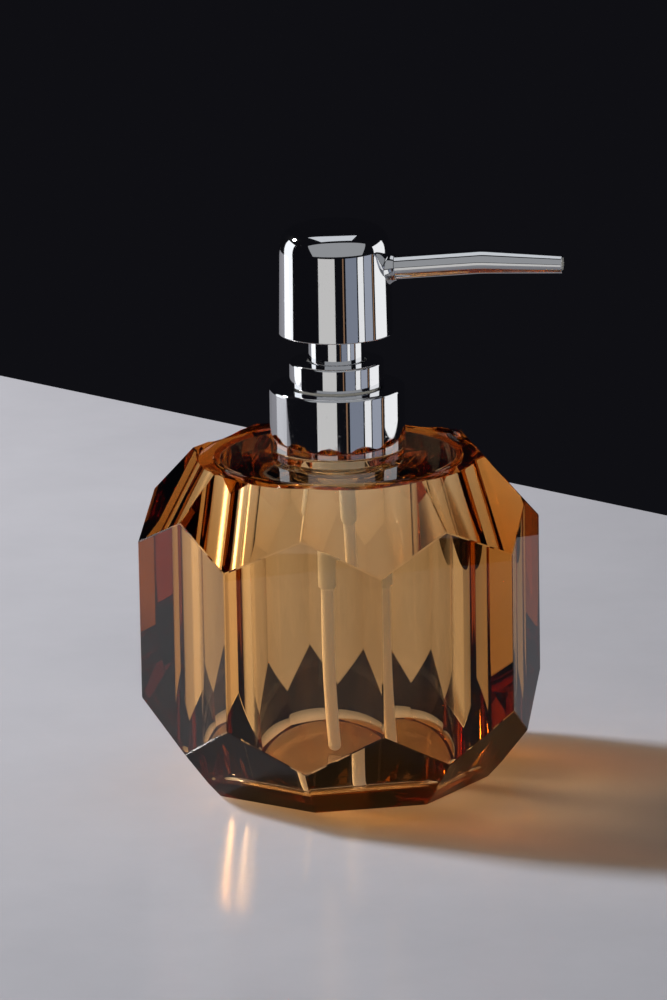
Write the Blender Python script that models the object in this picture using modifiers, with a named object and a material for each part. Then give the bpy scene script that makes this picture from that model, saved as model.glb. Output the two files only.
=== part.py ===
"""Countertop soap pump dispenser: a faceted clear bottle with a screw-on metal lotion pump.

Frame: +Z up, origin at the centre of the flat base, bottle facets square to X and Y.
Sizes below are in millimetres; MM turns them into metres when a mesh is made.
Each hollow piece keeps CLEARANCE to what it touches.
"""

import math

import bmesh
import bpy
from mathutils import Matrix, Vector

MM = 0.001
CLEARANCE = 0.3
OVERSHOOT = 4.0  # how far a cutter reaches past the face that it opens
EMBED = 0.4  # how far a joined shape is sunk into its partner

# Bottle block
FACETS = 8
BELT_R = 50.0  # corner radius of the upright belt
BODY_H = 81.2
TOP_R = 36.2  # corner radius of the flat top
BELT_TOP_Z = 61.9  # lowest points of the upper zigzag
BELT_LOW_Z = 19.9  # highest points of the lower zigzag
SKIRT_Z = 4.0  # top of the bevel round the foot
SKIRT_R = 39.7
FOOT_R = 36.6
CAVITY_R = 28.8
CAVITY_FLOOR_Z = 6.8
CAVITY_FILLET = 3.4

# Neck plate, bonded into the block's mouth
PLATE_R = 34.0
PLATE_H = 1.8  # from its underside to the sunken ledge
LEDGE_DROP = 1.2  # ledge below the block's flat top
PLATEAU_R = 30.6
PLATEAU_RISE = 0.8
PLATEAU_BEVEL = 0.5
NECK_R = 12.7
NECK_WALL = 3.1
NECK_H = 9.9  # above the shoulder ring
SHOULDER_H = 1.75
SHOULDER_INSET = 0.2  # the shoulder ring lies this far inside the collar

# Screw closure
COLLAR_H = 15.15
COLLAR_FILLET = 0.7
SHELL_WALL = 0.6
LINER_TOP = 1.2
LINER_WALL = 1.55
THREAD_PITCH = 4.233
THREAD_DEPTH = 0.9
THREAD_MARGIN = 0.5  # bare neck above and below the thread
THREAD_ROOT_HALF = 1.3
THREAD_CREST_HALF = 0.5
THREAD_PLAY = 0.45  # radial room between a crest and the wall that it faces
LINER_THREAD_TURNS = 1.25
LINER_THREAD_LATE = 0.67  # turns after the start of the neck's thread

# Pump body
GASKET_H = 1.2
FLANGE_INSET = 0.2  # inside the neck's outside
FLANGE_H = 1.4
CUP_PLAY = 0.4  # round the housing's wide upper part
CUP_WALL = 1.1
CUP_RISE = 5.9  # above the flange
CUP_DEPTH = 6.9  # below the flange
BARREL_R = 6.5
BARREL_WALL = 1.0
BARREL_SPARE_H = 13.85  # the barrel's length beyond the stroke
SEAT_CONE_H = 3.5
SOCKET_R = 3.4
SOCKET_H = 10.0
TUBE_R = 2.4
TUBE_WALL = 0.65
TUBE_LEAN = (1.9, 0.5)  # how far the free end springs sideways
TUBE_BEND_FROM = 0.4  # share of the length that stays straight
TUBE_FLOOR_GAP = 0.6
TUBE_SLANT_DEG = 20.0
INLET_HOLE_R = 1.3
INLET_HOLE_H = 1.5
INLET_RISE = 0.2  # top of the inlet hole above the socket's shoulder
INLET_BALL_R = 2.0
INLET_CHAMBER_R = 2.6
INLET_LIFT = 1.5
RETAINER_H = 1.2
RETAINER_SLOT_W = 1.4
RETAINER_SLOT_H = 0.5
CHAPLET_FLOOR = 1.3
CHAPLET_WALL = 0.6
CHAPLET_FLANGE_H = 1.4
CHAPLET_FLANGE_INSET = 0.45  # inside the cover
COVER_OVERHANG = 2.35  # beyond the housing's cup
COVER_H = 5.95
COVER_WALL = 0.7
COVER_FILLET = 0.45

# Spring
SPRING_R = 4.2
SPRING_WIRE_R = 0.35
SPRING_TURNS = 7.0
SPRING_DEAD_TURNS = 0.75

# Plunger
STROKE = 11.0
PISTON_H = 4.5
PISTON_LIP = 0.8
STEM_R = 3.2
STEM_BORE_R = 1.2
STEM_IN_HEAD = 10.4  # length of stem above the head's lower rim
OUTLET_BALL_R = 1.5
OUTLET_CHAMBER_R = 1.9
OUTLET_CHAMBER_H = 4.5
OUTLET_LIFT = 1.2
SLEEVE_PLAY = 0.4
SLEEVE_WALL = 0.8

# Head
HEAD_SPARE = 2.15  # between the closure and the head pressed right down
HEAD_H = 26.75
HEAD_OVERHANG = 2.4  # beyond the guide cover
HEAD_TAPER = 0.4
HEAD_FILLET = 5.5
HEAD_WALL = 0.8
CORE_DROP = 5.0  # the core's top below the head's
CORE_BOSS_H = 8.0
CORE_CHANNEL_R = 1.6
HEAD_TURN_DEG = 0.0  # where the nozzle rests, from +X

# Nozzle, measured out from the pump's axis and up from the head's lower rim
NOZZLE_ROOT_OUT = 10.2
NOZZLE_ROOT_UP = 16.1
NOZZLE_BEND_OUT = 35.8
NOZZLE_BEND_UP = 18.5
NOZZLE_TIP_OUT = 55.9
NOZZLE_TIP_UP = 18.35
NOZZLE_BEND_SOFT = 1.4
NOZZLE_R = 2.95
NOZZLE_TIP_R = 2.25
NOZZLE_WALL = 0.45
NOZZLE_LINER_WALL = 0.5
NOZZLE_LINER_INSET = 1.0
BOSS_LOW_R = 4.4
BOSS_TOP_R = 3.5
BOSS_OUT = 0.8  # how far the ring stands off the head

# Roundness
STEPS_LARGE = 36
STEPS_MEDIUM = 28
STEPS_SMALL = 20
TUBE_SIDES = 20
SADDLE_STEPS = 72

# Heights that follow from the sizes above
ledge_z = BODY_H - LEDGE_DROP
plate_low_z = ledge_z - PLATE_H
seat_z = plate_low_z - CLEARANCE
plateau_z = ledge_z + PLATEAU_RISE
shoulder_z = plateau_z + SHOULDER_H
rim_z = shoulder_z + NECK_H
collar_low_z = shoulder_z + CLEARANCE
collar_top_z = collar_low_z + COLLAR_H
gasket_z = rim_z + CLEARANCE
flange_low_z = gasket_z + GASKET_H + CLEARANCE
flange_top_z = flange_low_z + FLANGE_H
liner_under_z = flange_top_z + CLEARANCE
cup_top_z = flange_top_z + CUP_RISE
cup_floor_z = flange_low_z - CUP_DEPTH + CUP_WALL
barrel_top_z = cup_floor_z - CUP_WALL
barrel_low_z = barrel_top_z - BARREL_SPARE_H - STROKE
socket_top_z = barrel_low_z - SEAT_CONE_H
socket_low_z = socket_top_z - SOCKET_H
chaplet_low_z = cup_floor_z + CLEARANCE
chaplet_floor_z = chaplet_low_z + CHAPLET_FLOOR
chaplet_flange_z = cup_top_z + CLEARANCE
cover_low_z = collar_top_z + CLEARANCE
cover_top_z = cover_low_z + COVER_H
inlet_top_z = socket_top_z + INLET_RISE
chamber_low_z = inlet_top_z + INLET_CHAMBER_R - INLET_HOLE_R
inlet_ball_z = inlet_top_z - INLET_HOLE_R + (INLET_BALL_R + CLEARANCE) * math.sqrt(2)
retainer_z = inlet_ball_z + INLET_BALL_R + INLET_LIFT + CLEARANCE
spring_low_z = retainer_z + RETAINER_H + CLEARANCE
piston_top_z = chaplet_low_z - CLEARANCE
piston_low_z = piston_top_z - PISTON_H
spring_top_z = piston_low_z - CLEARANCE
head_low_z = collar_top_z + STROKE + HEAD_SPARE
head_top_z = head_low_z + HEAD_H
stem_low_z = piston_low_z + PISTON_LIP + CLEARANCE
stem_top_z = head_low_z + STEM_IN_HEAD
sleeve_low_z = chaplet_floor_z + CLEARANCE + STROKE
core_low_z = cover_top_z + STROKE + CLEARANCE
core_top_z = head_top_z - CORE_DROP
neck_thread_z = shoulder_z + THREAD_MARGIN + THREAD_ROOT_HALF
thread_turns = (NECK_H - 2 * THREAD_MARGIN - 2 * THREAD_ROOT_HALF) / THREAD_PITCH
outlet_seat_z = stem_top_z - OUTLET_CHAMBER_H - OUTLET_CHAMBER_R
outlet_ball_z = outlet_seat_z + (OUTLET_BALL_R + CLEARANCE) * math.sqrt(2)

# Radii that follow from the sizes above
neck_bore_r = NECK_R - NECK_WALL
liner_bore_r = NECK_R + THREAD_DEPTH + THREAD_PLAY
liner_r = liner_bore_r + LINER_WALL
collar_r = liner_r + CLEARANCE + SHELL_WALL
shoulder_r = collar_r - SHOULDER_INSET
flange_r = NECK_R - FLANGE_INSET
cup_r = neck_bore_r - CUP_PLAY
cup_bore_r = cup_r - CUP_WALL
barrel_bore_r = BARREL_R - BARREL_WALL
socket_bore_r = TUBE_R + CLEARANCE
collar_hole_r = cup_r + CUP_PLAY
chaplet_wall_r = cup_bore_r - CLEARANCE
chaplet_bore_r = chaplet_wall_r - CHAPLET_WALL
cover_r = cup_r + COVER_OVERHANG
chaplet_flange_r = cover_r - COVER_WALL - CHAPLET_FLANGE_INSET
sleeve_r = chaplet_bore_r - SLEEVE_PLAY
sleeve_hole_r = sleeve_r + SLEEVE_PLAY
sleeve_bore_r = sleeve_r - SLEEVE_WALL
core_boss_r = sleeve_bore_r - SLEEVE_PLAY
piston_r = barrel_bore_r - CLEARANCE
stem_hole_r = STEM_R + CLEARANCE
head_low_r = cover_r + HEAD_OVERHANG
head_top_r = head_low_r - HEAD_TAPER
core_r = head_top_r - HEAD_WALL - CLEARANCE
nozzle_hole_r = NOZZLE_R + CLEARANCE


def clear_scene():
    for obj in list(bpy.data.objects):
        bpy.data.objects.remove(obj, do_unlink=True)


def new_collection(name, hidden=False):
    collection = bpy.data.collections.new(name)
    bpy.context.scene.collection.children.link(collection)
    collection.hide_render = hidden
    return collection


def material(name, color, roughness, metallic=0.0, transmission=0.0):
    made = bpy.data.materials.new(name)
    made.use_nodes = True
    shader = made.node_tree.nodes["Principled BSDF"]
    shader.inputs["Base Color"].default_value = (*color, 1.0)
    shader.inputs["Roughness"].default_value = roughness
    shader.inputs["Metallic"].default_value = metallic
    shader.inputs["Transmission Weight"].default_value = transmission
    made.diffuse_color = (*color, 1.0)
    return made


def place(name, mesh, finish, body=None):
    """Puts a mesh in the scene as one sub-part, carried by its body's empty."""
    obj = bpy.data.objects.new(name, mesh)
    parts.objects.link(obj)
    if not obj.material_slots:
        mesh.materials.append(finish)
    obj.parent = body
    return obj


def as_cutter(obj):
    """Moves an object out of the model, so that only Booleans use it."""
    for collection in list(obj.users_collection):
        collection.objects.unlink(obj)
    cutters.objects.link(obj)
    obj.hide_render = True
    obj.display_type = "WIRE"
    return obj


def boolean(obj, other, operation):
    change = obj.modifiers.new(f"{operation.title()} {other.name}", "BOOLEAN")
    change.operation = operation
    change.solver = "EXACT"
    change.object = other
    other.parent = obj.parent


def turned(name, profile, steps, finish, body=None, closed=True):
    """Turns a profile of (radius, height) round Z. It runs down the outside, then back up any bore."""
    mesh = bpy.data.meshes.new(name)
    bm = bmesh.new()
    corners = [bm.verts.new((radius * MM, 0, height * MM)) for radius, height in profile]
    for first, second in zip(corners, corners[1:]):
        bm.edges.new((first, second))
    if closed:
        bm.edges.new((corners[-1], corners[0]))
    bm.to_mesh(mesh)
    bm.free()
    obj = place(name, mesh, finish, body)
    turn = obj.modifiers.new("Turn", "SCREW")
    turn.steps = steps
    turn.render_steps = steps
    turn.use_merge_vertices = True
    turn.merge_threshold = 1e-6
    turn.use_smooth_shade = True
    return obj


def arc(centre_r, centre_z, radius, start_deg, end_deg, count):
    """Points of a rounded corner, where 0 degrees points outwards and 90 up."""
    points = []
    for index in range(count + 1):
        angle = math.radians(start_deg + (end_deg - start_deg) * index / count)
        points.append((centre_r + radius * math.cos(angle), centre_z + radius * math.sin(angle)))
    return points


def swept(name, points, radii, sides=TUBE_SIDES):
    """A rod along a line of points in millimetres, as a welded mesh; its radius may change along it."""
    curve = bpy.data.curves.new(name, "CURVE")
    curve.dimensions = "3D"
    curve.bevel_depth = MM
    curve.bevel_resolution = sides // 2 - 2
    curve.use_fill_caps = True
    spline = curve.splines.new("POLY")
    spline.points.add(len(points) - 1)
    for spot, point, radius in zip(spline.points, points, radii):
        spot.co = (*(Vector(point) * MM), 1)
        spot.radius = radius
    guide = bpy.data.objects.new(name, curve)
    bpy.context.scene.collection.objects.link(guide)
    graph = bpy.context.evaluated_depsgraph_get()
    mesh = bpy.data.meshes.new_from_object(guide.evaluated_get(graph))
    bpy.data.objects.remove(guide)
    bm = bmesh.new()
    bm.from_mesh(mesh)
    bmesh.ops.remove_doubles(bm, verts=bm.verts[:], dist=1e-6)
    bmesh.ops.recalc_face_normals(bm, faces=bm.faces[:])
    bm.to_mesh(mesh)
    bm.free()
    mesh.name = name
    mesh.shade_smooth()
    mesh.set_sharp_from_angle(angle=math.radians(40))
    return mesh


def sphere(name, radius, height, finish, body):
    mesh = bpy.data.meshes.new(name)
    bm = bmesh.new()
    bmesh.ops.create_uvsphere(bm, u_segments=STEPS_SMALL, v_segments=10, radius=radius * MM)
    bmesh.ops.translate(bm, verts=bm.verts[:], vec=(0, 0, height * MM))
    bm.to_mesh(mesh)
    bm.free()
    mesh.shade_smooth()
    return place(name, mesh, finish, body)


def thread(name, wall_r, crest_r, start_z, start_turn, turns, steps_per_turn=24):
    """A helical ridge: a trapezoid spun up the screw, from the wall that it grows on to its crest."""
    away = 1 if crest_r > wall_r else -1
    sunk_r = wall_r - away * EMBED
    mesh = bpy.data.meshes.new(name)
    bm = bmesh.new()
    outline = (
        (sunk_r, -THREAD_ROOT_HALF),
        (crest_r, -THREAD_CREST_HALF),
        (crest_r, THREAD_CREST_HALF),
        (sunk_r, THREAD_ROOT_HALF),
    )
    height = start_z + THREAD_PITCH * start_turn
    corners = [bm.verts.new((radius * MM, 0, (height + rise) * MM)) for radius, rise in outline]
    section = bm.faces.new(corners)
    bmesh.ops.rotate(bm, verts=corners, matrix=Matrix.Rotation(2 * math.pi * start_turn, 3, "Z"))
    steps = round(turns * steps_per_turn)
    bmesh.ops.spin(
        bm,
        geom=[section, *section.edges, *section.verts],
        cent=(0, 0, 0),
        axis=(0, 0, 1),
        dvec=(0, 0, THREAD_PITCH * turns / steps * MM),
        angle=2 * math.pi * turns,
        steps=steps,
    )
    bmesh.ops.recalc_face_normals(bm, faces=bm.faces[:])
    bm.to_mesh(mesh)
    bm.free()
    return as_cutter(place(name, mesh, plastic_white))


def cut_flat(bm, point, normal):
    """Slices off all that lies beyond a plane and closes the cut with one flat facet."""
    cut = bmesh.ops.bisect_plane(
        bm,
        geom=[*bm.verts, *bm.edges, *bm.faces],
        dist=1e-7,
        plane_co=Vector(point) * MM,
        plane_no=normal,
        clear_outer=True,
    )
    edges = [item for item in cut["geom_cut"] if isinstance(item, bmesh.types.BMEdge)]
    bmesh.ops.contextual_create(bm, geom=edges)


def slope_normal(low, high, angle):
    """Outward normal of a facet that holds two points (radius, height) of the upright plane at an angle."""
    along = Vector((high[0] - low[0], high[1] - low[1])).normalized()
    return Vector((along.y * math.cos(angle), along.y * math.sin(angle), -along.x))


def make_bottle():
    """An octagonal block with its upper and lower facets turned half a step, bored out from the top."""
    half_step = math.pi / FACETS
    flat_share = math.cos(half_step)
    mesh = bpy.data.meshes.new("faceted_bottle")
    bm = bmesh.new()
    bmesh.ops.create_cone(
        bm,
        cap_ends=True,
        segments=FACETS,
        radius1=BELT_R * MM,
        radius2=BELT_R * MM,
        depth=BODY_H * MM,
        matrix=Matrix.Translation((0, 0, BODY_H / 2 * MM)) @ Matrix.Rotation(half_step, 4, "Z"),
    )
    top_edge = (TOP_R * flat_share, BODY_H)
    skirt_edge = (SKIRT_R * flat_share, SKIRT_Z)
    foot_edge = (FOOT_R * flat_share, 0)
    for index in range(FACETS):
        angle = half_step + index * 2 * half_step
        for low, high in (
            ((BELT_R, BELT_TOP_Z), top_edge),
            (skirt_edge, (BELT_R, BELT_LOW_Z)),
            (foot_edge, skirt_edge),
        ):
            point = (high[0] * math.cos(angle), high[0] * math.sin(angle), high[1])
            cut_flat(bm, point, slope_normal(low, high, angle))
    bmesh.ops.recalc_face_normals(bm, faces=bm.faces[:])
    bm.to_mesh(mesh)
    bm.free()
    bottle = place("faceted_bottle", mesh, amber)
    fillet_z = CAVITY_FLOOR_Z + CAVITY_FILLET
    mouth_r = PLATE_R + CLEARANCE
    hollow = [
        (0, BODY_H + OVERSHOOT),
        (mouth_r, BODY_H + OVERSHOOT),
        (mouth_r, seat_z),
        (CAVITY_R, seat_z),
        *arc(CAVITY_R - CAVITY_FILLET, fillet_z, CAVITY_FILLET, 0, -90, 5),
        (0, CAVITY_FLOOR_Z),
    ]
    cavity = as_cutter(turned("bottle_cavity", hollow, 48, amber, closed=False))
    boolean(bottle, cavity, "DIFFERENCE")


def make_neck_plate():
    """The round plate that closes the mouth: ledge, raised centre, shoulder ring and threaded neck."""
    profile = [
        (NECK_R, rim_z),
        (NECK_R, shoulder_z),
        (shoulder_r, shoulder_z),
        (shoulder_r, plateau_z),
        (PLATEAU_R - PLATEAU_BEVEL, plateau_z),
        (PLATEAU_R, plateau_z - PLATEAU_BEVEL),
        (PLATEAU_R, ledge_z),
        (PLATE_R, ledge_z),
        (PLATE_R, plate_low_z),
        (neck_bore_r, plate_low_z),
        (neck_bore_r, rim_z),
    ]
    plate = turned("neck_plate", profile, 48, amber)
    crest_r = NECK_R + THREAD_DEPTH
    boolean(plate, thread("neck_thread", NECK_R, crest_r, neck_thread_z, 0, thread_turns), "UNION")


def make_collar():
    """The closure's outer metal shell."""
    inner_r = collar_r - SHELL_WALL
    inner_z = collar_top_z - SHELL_WALL
    profile = [
        (collar_hole_r, collar_top_z),
        *arc(collar_r - COLLAR_FILLET, collar_top_z - COLLAR_FILLET, COLLAR_FILLET, 90, 0, 3),
        (collar_r, collar_low_z),
        (inner_r, collar_low_z),
        (inner_r, inner_z),
        (collar_hole_r, inner_z),
    ]
    turned("collar_shell", profile, STEPS_LARGE, chrome, closure)


def make_thread_liner():
    """The plastic cap inside the shell, with the thread that grips the neck."""
    top_z = collar_top_z - SHELL_WALL - CLEARANCE
    low_z = collar_low_z + CLEARANCE
    profile = [
        (collar_hole_r, top_z),
        (liner_r, top_z),
        (liner_r, low_z),
        (liner_bore_r, low_z),
        (liner_bore_r, top_z - LINER_TOP),
        (collar_hole_r, top_z - LINER_TOP),
    ]
    liner = turned("thread_liner", profile, STEPS_LARGE, plastic_white, closure)
    crest_r = NECK_R + THREAD_PLAY
    start_z = neck_thread_z - THREAD_PITCH / 2
    ridge = thread("liner_thread", liner_bore_r, crest_r, start_z, LINER_THREAD_LATE, LINER_THREAD_TURNS)
    boolean(liner, ridge, "UNION")


def make_gasket():
    """The soft ring between the neck's rim and the housing's flange."""
    low_z = gasket_z
    top_z = low_z + GASKET_H
    inner_r = cup_r + CLEARANCE
    profile = [(flange_r, top_z), (flange_r, low_z), (inner_r, low_z), (inner_r, top_z)]
    turned("neck_gasket", profile, STEPS_MEDIUM, rubber, pump_body)


def make_housing():
    """The pump's cylinder: cup and flange at the top, barrel, valve seat and tube socket below."""
    profile = [
        (cup_r, cup_top_z),
        (cup_r, flange_top_z),
        (flange_r, flange_top_z),
        (flange_r, flange_low_z),
        (cup_r, flange_low_z),
        (cup_r, barrel_top_z),
        (BARREL_R, barrel_top_z - CUP_WALL),
        (BARREL_R, barrel_low_z),
        (SOCKET_R, socket_top_z),
        (SOCKET_R, socket_low_z),
        (socket_bore_r, socket_low_z),
        (socket_bore_r, inlet_top_z - INLET_HOLE_H),
        (INLET_HOLE_R, inlet_top_z - INLET_HOLE_H),
        (INLET_HOLE_R, inlet_top_z),
        (INLET_CHAMBER_R, chamber_low_z),
        (INLET_CHAMBER_R, retainer_z - CLEARANCE),
        (barrel_bore_r, retainer_z - CLEARANCE),
        (barrel_bore_r, cup_floor_z),
        (cup_bore_r, cup_floor_z),
        (cup_bore_r, cup_top_z),
    ]
    turned("pump_housing", profile, STEPS_MEDIUM, plastic_clear, pump_body)


def make_chaplet():
    """The guide snapped into the housing's cup: it holds the piston in and steadies the stem."""
    flange_top = chaplet_flange_z + CHAPLET_FLANGE_H
    profile = [
        (chaplet_flange_r, flange_top),
        (chaplet_flange_r, chaplet_flange_z),
        (chaplet_wall_r, chaplet_flange_z),
        (chaplet_wall_r, chaplet_low_z),
        (stem_hole_r, chaplet_low_z),
        (stem_hole_r, chaplet_floor_z),
        (chaplet_bore_r, chaplet_floor_z),
        (chaplet_bore_r, flange_top),
    ]
    turned("chaplet", profile, STEPS_MEDIUM, plastic_white, pump_body)


def make_guide_cover():
    """The small metal cap over the chaplet, standing on the closure."""
    inner_r = cover_r - COVER_WALL
    inner_z = cover_top_z - COVER_WALL
    profile = [
        (sleeve_hole_r, cover_top_z),
        *arc(cover_r - COVER_FILLET, cover_top_z - COVER_FILLET, COVER_FILLET, 90, 0, 3),
        (cover_r, cover_low_z),
        (inner_r, cover_low_z),
        (inner_r, inner_z),
        (sleeve_hole_r, inner_z),
    ]
    turned("guide_cover", profile, STEPS_LARGE, chrome, pump_body)


def make_ball_retainer():
    """The slotted disc that keeps the inlet ball in its chamber and carries the spring."""
    top_z = retainer_z + RETAINER_H
    profile = [
        (piston_r, top_z),
        (piston_r, retainer_z),
        (INLET_HOLE_R, retainer_z),
        (INLET_HOLE_R, top_z),
    ]
    disc = turned("ball_retainer", profile, STEPS_SMALL, plastic_white, pump_body)
    mesh = bpy.data.meshes.new("retainer_slot")
    bm = bmesh.new()
    bmesh.ops.create_cube(bm, size=MM)
    bmesh.ops.scale(bm, verts=bm.verts[:], vec=(3 * piston_r, RETAINER_SLOT_W, 2 * RETAINER_SLOT_H))
    bmesh.ops.translate(bm, verts=bm.verts[:], vec=(0, 0, retainer_z * MM))
    bm.to_mesh(mesh)
    bm.free()
    boolean(disc, as_cutter(place("retainer_slot", mesh, plastic_white)), "DIFFERENCE")


def make_spring():
    """The return spring: close end coils, evenly spaced ones between them."""
    per_turn = 12
    count = round(SPRING_TURNS * per_turn)
    dead_pitch = 2.2 * SPRING_WIRE_R
    length = spring_top_z - spring_low_z - 2 * SPRING_WIRE_R
    open_turns = SPRING_TURNS - 2 * SPRING_DEAD_TURNS
    pitch = (length - 2 * SPRING_DEAD_TURNS * dead_pitch) / open_turns
    points = []
    for index in range(count + 1):
        turn = index / per_turn
        lower = min(turn, SPRING_DEAD_TURNS)
        upper = max(0, turn - SPRING_TURNS + SPRING_DEAD_TURNS)
        height = (lower + upper) * dead_pitch + (turn - lower - upper) * pitch
        angle = 2 * math.pi * turn
        middle = spring_low_z + SPRING_WIRE_R + height
        points.append((SPRING_R * math.cos(angle), SPRING_R * math.sin(angle), middle))
    mesh = swept("return_spring", points, [SPRING_WIRE_R] * len(points), 8)
    place("return_spring", mesh, steel, pump_body)


def make_dip_tube():
    """The plastic tube in the housing's socket; its free end leans and is cut on the slant."""
    slant = math.radians(TUBE_SLANT_DEG)
    top_z = inlet_top_z - INLET_HOLE_H - CLEARANCE
    low_z = CAVITY_FLOOR_Z + TUBE_FLOOR_GAP
    count = 12
    outer_line = []
    for index in range(count + 1):
        share = index / count
        bend = max(0, share - TUBE_BEND_FROM) / (1 - TUBE_BEND_FROM)
        height = top_z + (low_z - top_z) * share
        outer_line.append((TUBE_LEAN[0] * bend**2, TUBE_LEAN[1] * bend**2, height))
    bore_line = [
        (outer_line[0][0], outer_line[0][1], top_z + OVERSHOOT),
        *outer_line[1:-1],
        (outer_line[-1][0], outer_line[-1][1], low_z - OVERSHOOT),
    ]
    outer_mesh = swept("dip_tube", outer_line, [TUBE_R] * (count + 1), 16)
    tube = place("dip_tube", outer_mesh, plastic_white, pump_body)
    bore_mesh = swept("dip_tube_bore", bore_line, [TUBE_R - TUBE_WALL] * (count + 1), 16)
    boolean(tube, as_cutter(place("dip_tube_bore", bore_mesh, plastic_white)), "DIFFERENCE")
    mesh = bpy.data.meshes.new("dip_tube_slant")
    side = 4 * TUBE_R
    bm = bmesh.new()
    bmesh.ops.create_cube(bm, size=side * MM)
    bmesh.ops.translate(bm, verts=bm.verts[:], vec=(0, 0, -side / 2 * MM))
    bmesh.ops.rotate(bm, verts=bm.verts[:], matrix=Matrix.Rotation(slant, 3, "X"))
    low_end = Vector((*TUBE_LEAN, low_z + TUBE_R * math.tan(slant))) * MM
    bmesh.ops.translate(bm, verts=bm.verts[:], vec=low_end)
    bm.to_mesh(mesh)
    bm.free()
    boolean(tube, as_cutter(place("dip_tube_slant", mesh, plastic_white)), "DIFFERENCE")


def make_piston():
    """The sliding seal in the barrel: a cup with a lip at each end, bored for the stem."""
    waist_r = piston_r - 0.8
    profile = [
        (piston_r, piston_top_z),
        (piston_r, piston_top_z - PISTON_LIP),
        (waist_r, piston_top_z - 2 * PISTON_LIP),
        (waist_r, piston_low_z + 2 * PISTON_LIP),
        (piston_r, piston_low_z + PISTON_LIP),
        (piston_r, piston_low_z),
        (STEM_BORE_R, piston_low_z),
        (STEM_BORE_R, piston_low_z + PISTON_LIP),
        (stem_hole_r, piston_low_z + PISTON_LIP),
        (stem_hole_r, piston_top_z),
    ]
    turned("piston_seal", profile, STEPS_SMALL, rubber, plunger)


def make_stem():
    """The hollow piston rod; its upper end holds the outlet ball's seat and chamber."""
    profile = [
        (STEM_R, stem_top_z),
        (STEM_R, stem_low_z),
        (STEM_BORE_R, stem_low_z),
        (STEM_BORE_R, outlet_seat_z + STEM_BORE_R),
        (OUTLET_CHAMBER_R, outlet_seat_z + OUTLET_CHAMBER_R),
        (OUTLET_CHAMBER_R, stem_top_z),
    ]
    turned("plunger_stem", profile, STEPS_SMALL, plastic_clear, head)


def make_sleeve():
    """The bright tube round the stem that shows between the guide cover and the head."""
    top_z = core_low_z - CLEARANCE
    profile = [
        (sleeve_r, top_z),
        (sleeve_r, sleeve_low_z),
        (sleeve_bore_r, sleeve_low_z),
        (sleeve_bore_r, top_z),
    ]
    turned("stem_sleeve", profile, STEPS_MEDIUM, chrome, head)


def nozzle_line(start_out, end_out):
    """Points along the nozzle's centre line, in the head's own upright plane."""
    root = Vector((NOZZLE_ROOT_OUT, 0, head_low_z + NOZZLE_ROOT_UP))
    bend = Vector((NOZZLE_BEND_OUT, 0, head_low_z + NOZZLE_BEND_UP))
    tip = Vector((NOZZLE_TIP_OUT, 0, head_low_z + NOZZLE_TIP_UP))
    rise_in = (bend.z - root.z) / (bend.x - root.x)
    rise_out = (tip.z - bend.z) / (tip.x - bend.x)
    points = []
    for out in (start_out, *(bend.x + NOZZLE_BEND_SOFT * step / 2 for step in range(-2, 3)), end_out):
        if out < start_out or out > end_out:
            continue
        past = max(-1, min(1, (out - bend.x) / NOZZLE_BEND_SOFT))
        blend = (past + 1) ** 2 / 4 * NOZZLE_BEND_SOFT
        if out <= bend.x - NOZZLE_BEND_SOFT:
            height = bend.z + rise_in * (out - bend.x)
        elif out >= bend.x + NOZZLE_BEND_SOFT:
            height = bend.z + rise_out * (out - bend.x)
        else:
            height = bend.z + rise_in * (out - bend.x) + (rise_out - rise_in) * blend
        points.append((out, 0, height))
    return points


def nozzle_radii(points, inset):
    """The nozzle's outer radius less an inset: even up to the bend, then tapering to the tip."""
    run = NOZZLE_TIP_OUT - NOZZLE_BEND_OUT
    taper = (NOZZLE_R - NOZZLE_TIP_R) / run
    return [NOZZLE_R - inset - taper * max(0, point[0] - NOZZLE_BEND_OUT) for point in points]


def nozzle_rod(name, start_out, end_out, inset):
    points = nozzle_line(start_out, end_out)
    return swept(name, points, nozzle_radii(points, inset))


def side_bore(name, start_out, end_out, radius):
    """A straight cutter along the nozzle's root."""
    mesh = nozzle_rod(name, start_out, end_out, NOZZLE_R - radius)
    return as_cutter(place(name, mesh, plastic_white, head))


def make_head_shell():
    """The pressed metal cap: a slightly tapered drum with a rounded top, open below."""
    top_inner_r = head_top_r - HEAD_WALL
    inner_fillet = HEAD_FILLET - HEAD_WALL
    fillet_z = head_top_z - HEAD_FILLET
    profile = [
        (0, head_top_z),
        *arc(head_top_r - HEAD_FILLET, fillet_z, HEAD_FILLET, 90, 0, 6),
        (head_low_r, head_low_z),
        (head_low_r - HEAD_WALL, head_low_z),
        *arc(top_inner_r - inner_fillet, fillet_z, inner_fillet, 0, 90, 6),
        (0, head_top_z - HEAD_WALL),
    ]
    shell = turned("head_shell", profile, STEPS_LARGE, chrome, head, closed=False)
    hole = side_bore("head_shell_hole", core_r - 1, head_low_r + OVERSHOOT, nozzle_hole_r)
    boolean(shell, hole, "DIFFERENCE")


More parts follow.
